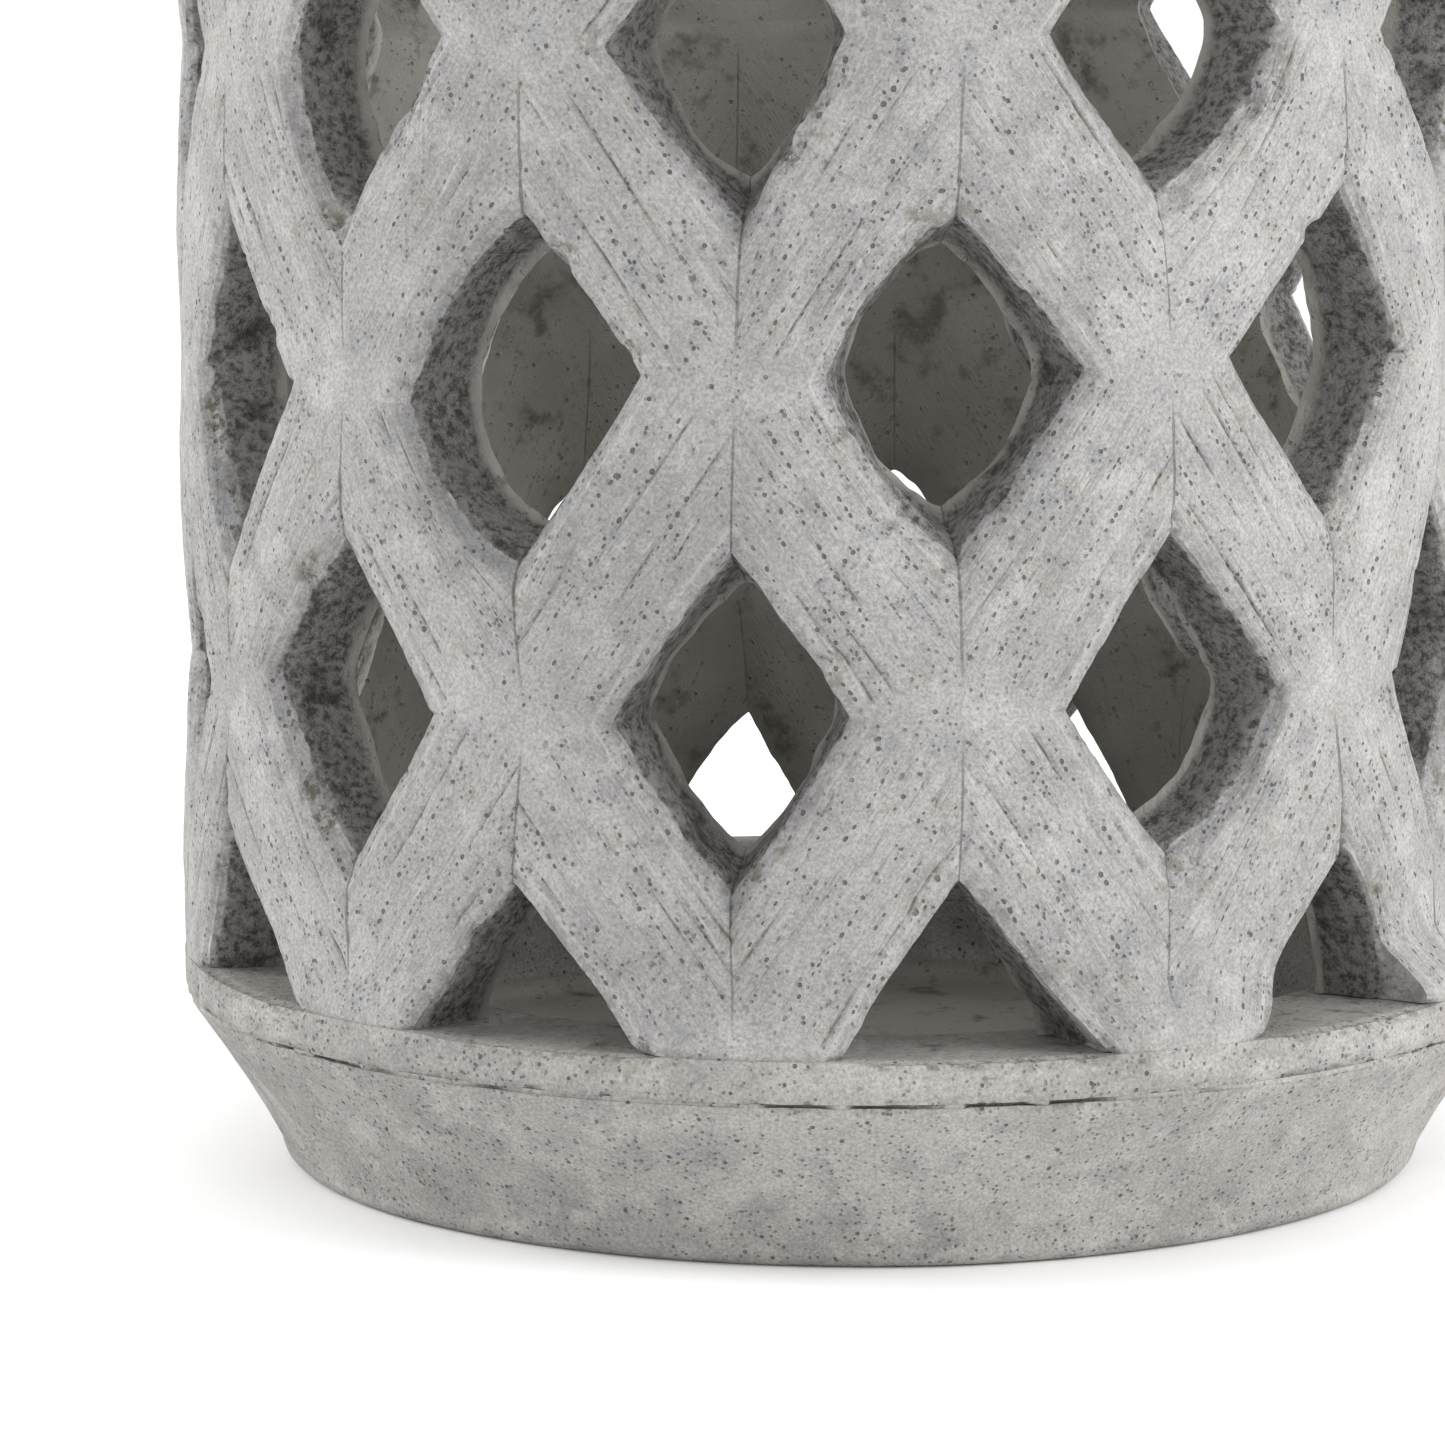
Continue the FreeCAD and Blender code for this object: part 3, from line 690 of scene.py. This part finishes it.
def make_stone(name, pale=0.36, dull=0.288, warmth=0.02, streaks=1.0, crowded=0.0):
    """Cast stone: mottled, pitted, streaked along the straps, and grainy and darker where it has aged. Pits,
    pinholes, grooves, creases and open seams are painted dark as painted shade, worn edges are painted darker
    partly as painted shade, and the crest of each bevel is pale as a painted highlight.

    crowded makes the pinholes that are painted dark as painted shade more frequent, and streaks is 0 on stone
    without combed straps.
    """
    nodes = Nodes(name)
    place = nodes.add("ShaderNodeTexCoord", "Object", {})
    groove, wear_and_shade, hollow = nodes.split(nodes.attribute("marks"))
    calm, bevel, inside = nodes.split(nodes.attribute("tint"))
    strand = nodes.attribute("strand")
    run, lane, lean = nodes.split(strand)
    aged = nodes.attribute("aged", "Fac")

    # the pale skin: broad tones, lavender and olive clouds, fine grain
    broad = nodes.noise(place, 0.05, 4)
    patch = nodes.noise(place, 0.014, 5, 0.62)
    grain = nodes.noise(place, 0.0008, 3, 0.7)
    colour = nodes.mix(nodes.ramp(broad, 0.3, 0.7), grey(dull, warmth), grey(pale, warmth))
    colour = nodes.mix(nodes.times(nodes.ramp(patch, 0.46, 0.66), 0.7), colour, grey(pale * 1.14, warmth))
    cool = nodes.noise(place, 0.010, 4, 0.68)
    cool_share = nodes.math("ADD", nodes.times(nodes.ramp(cool, 0.5, 0.68), 0.45), nodes.times(bevel, 0.45))
    colour = nodes.mix(nodes.clamped(cool_share), colour, (dull * 0.80, dull * 0.79, dull * 0.86, 1))
    olive = nodes.noise(nodes.scaled(place, (0.8, 0.8, 0.9)), 0.008, 5, 0.7)
    olive_share = nodes.times(nodes.ramp(olive, 0.57, 0.72), 0.5)
    colour = nodes.mix(olive_share, colour, (dull * 0.82, dull * 0.77, dull * 0.62, 1))
    grain_tone = nodes.mix(nodes.ramp(grain, 0.25, 0.75), grey(0.74), grey(1.24))
    colour = nodes.mix(1.0, colour, grain_tone, "MULTIPLY")

    # streaks along the straps, dark and pale
    streak = nodes.noise(nodes.scaled(strand, (1 / 19.0, 1 / 1.6, 30.0)), 1.0, 4, 0.66)
    thin = nodes.noise(nodes.scaled(strand, (1 / 7.0, 1 / 0.6, 11.0)), 1.0, 3, 0.6)
    along = nodes.times(calm, streaks)
    dark_streak = nodes.times(nodes.ramp(streak, 0.46, 0.32), along)
    colour = nodes.mix(nodes.times(dark_streak, 0.44), colour, (dull * 0.66, dull * 0.645, dull * 0.60, 1))
    thin_streak = nodes.times(nodes.ramp(thin, 0.40, 0.27), along)
    colour = nodes.mix(nodes.times(thin_streak, 0.6), colour, (dull * 0.6, dull * 0.57, dull * 0.5, 1))
    pale_streak = nodes.times(nodes.ramp(streak, 0.57, 0.7), along)
    colour = nodes.mix(nodes.times(pale_streak, 0.5), colour, grey(pale * 1.3, 0.01))

    # painted highlight: a thin pale line where the face turns into the bevel
    ridge_highlight = nodes.times(nodes.ramp(bevel, 0.0, 0.05), nodes.ramp(bevel, 0.2, 0.08))
    colour = nodes.mix(nodes.times(ridge_highlight, 0.4), colour, grey(pale * 1.25, 0.01))

    # rows of small pits along the straps, painted dark as painted shade
    row = nodes.math("FLOOR", nodes.math("DIVIDE", lane, 5.2))
    beside = nodes.math("SUBTRACT", nodes.math("SUBTRACT", nodes.math("DIVIDE", lane, 5.2), row), 0.5)
    wander = nodes.math("SUBTRACT", nodes.noise(nodes.scaled(strand, (1 / 30.0, 1 / 9.0, 5.0)), 1.0, 2), 0.5)
    off_row = nodes.times(nodes.math("ADD", beside, nodes.times(wander, 0.9)), 5.2)
    station = nodes.math("ADD", nodes.math("DIVIDE", run, 2.7), nodes.times(row, 17.3))
    station = nodes.math("ADD", station, nodes.times(lean, 71.7))
    pearl = nodes.tree.nodes.new("ShaderNodeTexVoronoi")
    pearl.voronoi_dimensions = "1D"
    pearl.inputs["Scale"].default_value = 1.0
    pearl.inputs["Randomness"].default_value = 0.75
    nodes.put(pearl.inputs["W"], station)
    chance, size, _ = nodes.split(pearl.outputs["Color"])
    away = nodes.math("ADD", nodes.math("POWER", nodes.times(pearl.outputs["Distance"], 2.7 / 0.62), 2.0),
                      nodes.math("POWER", nodes.math("DIVIDE", off_row, 0.36), 2.0))
    away = nodes.math("DIVIDE", nodes.math("SQRT", away), nodes.math("ADD", 0.55, nodes.times(size, 0.75)))
    stretch = nodes.noise(nodes.scaled(strand, (1 / 26.0, 1 / 6.0, 9.0)), 1.0, 2)
    present = nodes.times(nodes.ramp(stretch, 0.42, 0.53), nodes.math("LESS_THAN", chance, 0.7))
    pit_row_shade = nodes.times(nodes.times(nodes.ramp(away, 1.0, 0.6), present), along)

    # scattered pinholes, painted dark as painted shade; then painted shade in the grooves and pits, and
    # darker worn edges
    fine = nodes.cells(place, 0.0017)
    wide = nodes.cells(place, 0.0046)
    crowd = nodes.noise(place, 0.010, 3, 0.6)
    fine_pinhole_shade = nodes.times(nodes.ramp(fine, 0.25, 0.13), nodes.ramp(crowd, 0.44 - crowded, 0.62 - crowded))
    wide_pinhole_shade = nodes.times(nodes.ramp(wide, 0.125, 0.07), nodes.ramp(crowd, 0.34 - crowded, 0.52 - crowded))
    pinhole_shade = nodes.math("MAXIMUM", nodes.times(fine_pinhole_shade, 0.7), wide_pinhole_shade)
    pinhole_shade = nodes.math("MAXIMUM", pinhole_shade, pit_row_shade)
    # painted shade: pinholes and rows of pits painted near black
    colour = nodes.mix(nodes.times(pinhole_shade, 0.78), colour, (0.07, 0.064, 0.05, 1))

    # a broken noise for the painted shade in grooves and at edges, and for the edge of the aged stain
    stain_and_shade_noise = nodes.noise(place, 0.0035, 4, 0.72)
    # painted shade in the grooves and the mitre creases
    groove_shade = nodes.times(nodes.ramp(groove, 0.25, 0.9), nodes.ramp(stain_and_shade_noise, 0.42, 0.58))
    colour = nodes.mix(nodes.times(groove_shade, 0.8), colour, (0.125, 0.115, 0.09, 1))
    # painted shade in the pits and along the washed-out mortar seam
    colour = nodes.mix(nodes.times(nodes.ramp(hollow, 0.35, 0.85), 0.6), colour, (0.1, 0.092, 0.07, 1))
    # darker at chipped and worn edges, at the far edge of each plain ring and over the washed-out seam:
    # partly wear, partly painted shade
    worn_and_shaded = nodes.times(wear_and_shade, nodes.ramp(stain_and_shade_noise, 0.46, 0.6))
    colour = nodes.mix(nodes.clamped(nodes.times(worn_and_shaded, 0.8)), colour, (0.14, 0.13, 0.105, 1))

    # the grainy sides of the openings, and the smoother inside
    crumb = nodes.noise(place, 0.0021, 4, 0.74)
    blotch = nodes.noise(place, 0.011, 4, 0.62)
    old = nodes.mix(nodes.ramp(crumb, 0.34, 0.60), (0.058, 0.054, 0.05, 1), (0.215, 0.208, 0.2, 1))
    old = nodes.mix(nodes.times(nodes.ramp(blotch, 0.54, 0.7), 0.75), old, (0.038, 0.036, 0.031, 1))
    old = nodes.mix(nodes.times(nodes.ramp(blotch, 0.46, 0.3), 0.5), old, (0.235, 0.23, 0.218, 1))
    calm_inside = nodes.mix(nodes.ramp(broad, 0.35, 0.65), (0.285, 0.275, 0.248, 1), (0.35, 0.34, 0.313, 1))
    blotched = nodes.times(nodes.ramp(blotch, 0.54, 0.71), 0.8)
    calm_inside = nodes.mix(blotched, calm_inside, (0.11, 0.105, 0.09, 1))
    # painted shade of the wider pinholes on the smoother inside
    calm_inside = nodes.mix(nodes.times(wide_pinhole_shade, 0.5), calm_inside, (0.1, 0.095, 0.08, 1))
    old = nodes.mix(inside, old, calm_inside)
    edge = nodes.math("ADD", aged, nodes.times(nodes.math("SUBTRACT", stain_and_shade_noise, 0.5), 0.9))
    colour = nodes.mix(nodes.times(nodes.ramp(edge, 0.25, 0.7), nodes.ramp(aged, 0.0, 0.2)), colour, old)
    nodes.put(nodes.shader.inputs["Base Color"], colour)
    nodes.shader.inputs["Roughness"].default_value = 0.93
    nodes.shader.inputs["Specular IOR Level"].default_value = 0.2

    relief = nodes.times(grain, 0.3)
    relief = nodes.math("ADD", relief, nodes.times(nodes.noise(place, 0.0045, 3), 0.5))
    relief = nodes.math("ADD", relief, nodes.times(nodes.times(thin, along), 0.5))
    rough_side = nodes.times(crumb, nodes.times(aged, nodes.math("SUBTRACT", 1.0, nodes.times(inside, 0.8))))
    relief = nodes.math("ADD", relief, nodes.times(rough_side, 1.7))
    relief = nodes.math("SUBTRACT", relief, nodes.times(pinhole_shade, 0.8))
    bump = nodes.add("ShaderNodeBump", 0, {"Height": relief, "Strength": 0.9, "Distance": 0.0009})
    nodes.put(nodes.shader.inputs["Normal"], bump)
    return nodes.material


def make_steel(name):
    """Drawn steel rod."""
    nodes = Nodes(name)
    place = nodes.add("ShaderNodeTexCoord", "Object", {})
    drawn = nodes.noise(nodes.scaled(place, (1.0, 1.0, 0.05)), 0.0006, 2)
    nodes.put(nodes.shader.inputs["Base Color"], nodes.mix(drawn, grey(0.42), grey(0.56)))
    nodes.put(nodes.shader.inputs["Roughness"], nodes.math("MULTIPLY_ADD", drawn, 0.2))
    nodes.shader.inputs["Metallic"].default_value = 1.0
    return nodes.material


def dress(piece, material, slot, *cad_nodes):
    """Give a piece its material, attach it to the root body, and hide the CAD nodes it stands for."""
    piece.data.materials.clear()
    piece.data.materials.append(material)
    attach(piece, "root")
    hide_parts(*cad_nodes)


lattice_stone = make_stone("lattice_stone")
plain_stone = make_stone("plain_stone", pale=0.35, dull=0.26, warmth=0.035, streaks=0.0, crowded=0.08)
steel = make_steel("pin_steel")

for number in range(1, COURSES + 1):
    dress(make_course(number), lattice_stone, "lattice_stone", f"lattice_course_{number}")
for row in range(COURSES + 1):
    dress(make_mortar(row), lattice_stone, "mortar", f"mortar_bed_{row}")
    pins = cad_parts[f"pins_{row}"]
    pins.data.materials.clear()
    pins.data.materials.append(steel)
dress(make_base_ring(), plain_stone, "plain_stone", "base_ring")
dress(make_top_ring(), plain_stone, "plain_stone", "top_ring")
dress(make_foot(), plain_stone, "plain_stone", "foot")
dress(make_foot_bed(), plain_stone, "mortar", "foot_mortar_bed")

# ---------------------------------------------------------------- floor, light and camera


def add_floor():
    mesh = bpy.data.meshes.new("floor")
    reach = 6.0
    corners = [(-reach, -reach, 0), (reach, -reach, 0), (reach, reach, 0), (-reach, reach, 0)]
    mesh.from_pydata(corners, [], [(0, 1, 2, 3)])
    floor = bpy.data.objects.new("floor", mesh)
    bpy.context.scene.collection.objects.link(floor)
    nodes = Nodes("pale_floor")
    nodes.shader.inputs["Base Color"].default_value = (0.96, 0.96, 0.96, 1)
    nodes.shader.inputs["Roughness"].default_value = 0.9
    floor.data.materials.append(nodes.material)


def add_softbox(name, place, size, watts):
    """A square area light that points at the middle of the lantern."""
    light = bpy.data.lights.new(name, "AREA")
    light.size = size
    light.energy = watts
    box = bpy.data.objects.new(name, light)
    box.location = place
    aim = Vector((0, 0, 0.17)) - Vector(place)
    box.rotation_euler = aim.to_track_quat("-Z", "Y").to_euler()
    bpy.context.scene.collection.objects.link(box)


def add_surroundings(strength):
    world = bpy.data.worlds.new("studio")
    world.use_nodes = True
    world.node_tree.nodes["Background"].inputs["Color"].default_value = (1, 1, 1, 1)
    world.node_tree.nodes["Background"].inputs["Strength"].default_value = strength
    bpy.context.scene.world = world


def add_camera():
    """The camera stands a little to the right of column 0, above the lantern, and looks slightly down."""
    camera = bpy.data.cameras.new("camera")
    camera.lens = 146.3
    camera.sensor_width = 36.0
    distance, height = 9.053 * RADIUS * MM, 1.927 * RADIUS * MM
    azimuth, down, left = math.radians(7.065), math.radians(7.942), math.radians(1.249)
    item = bpy.data.objects.new("camera", camera)
    item.location = (distance * math.sin(azimuth), -distance * math.cos(azimuth), height)
    item.rotation_euler = (math.pi / 2 - down, 0, azimuth + left)
    bpy.context.scene.collection.objects.link(item)
    bpy.context.scene.camera = item


add_floor()
add_surroundings(1.06)
add_softbox("left_box", (-2.3, 0.1, 1.1), 1.2, 36)
add_softbox("right_box", (2.0, -0.4, 1.0), 1.2, 34)
add_camera()
bpy.context.scene.view_settings.view_transform = "Standard"
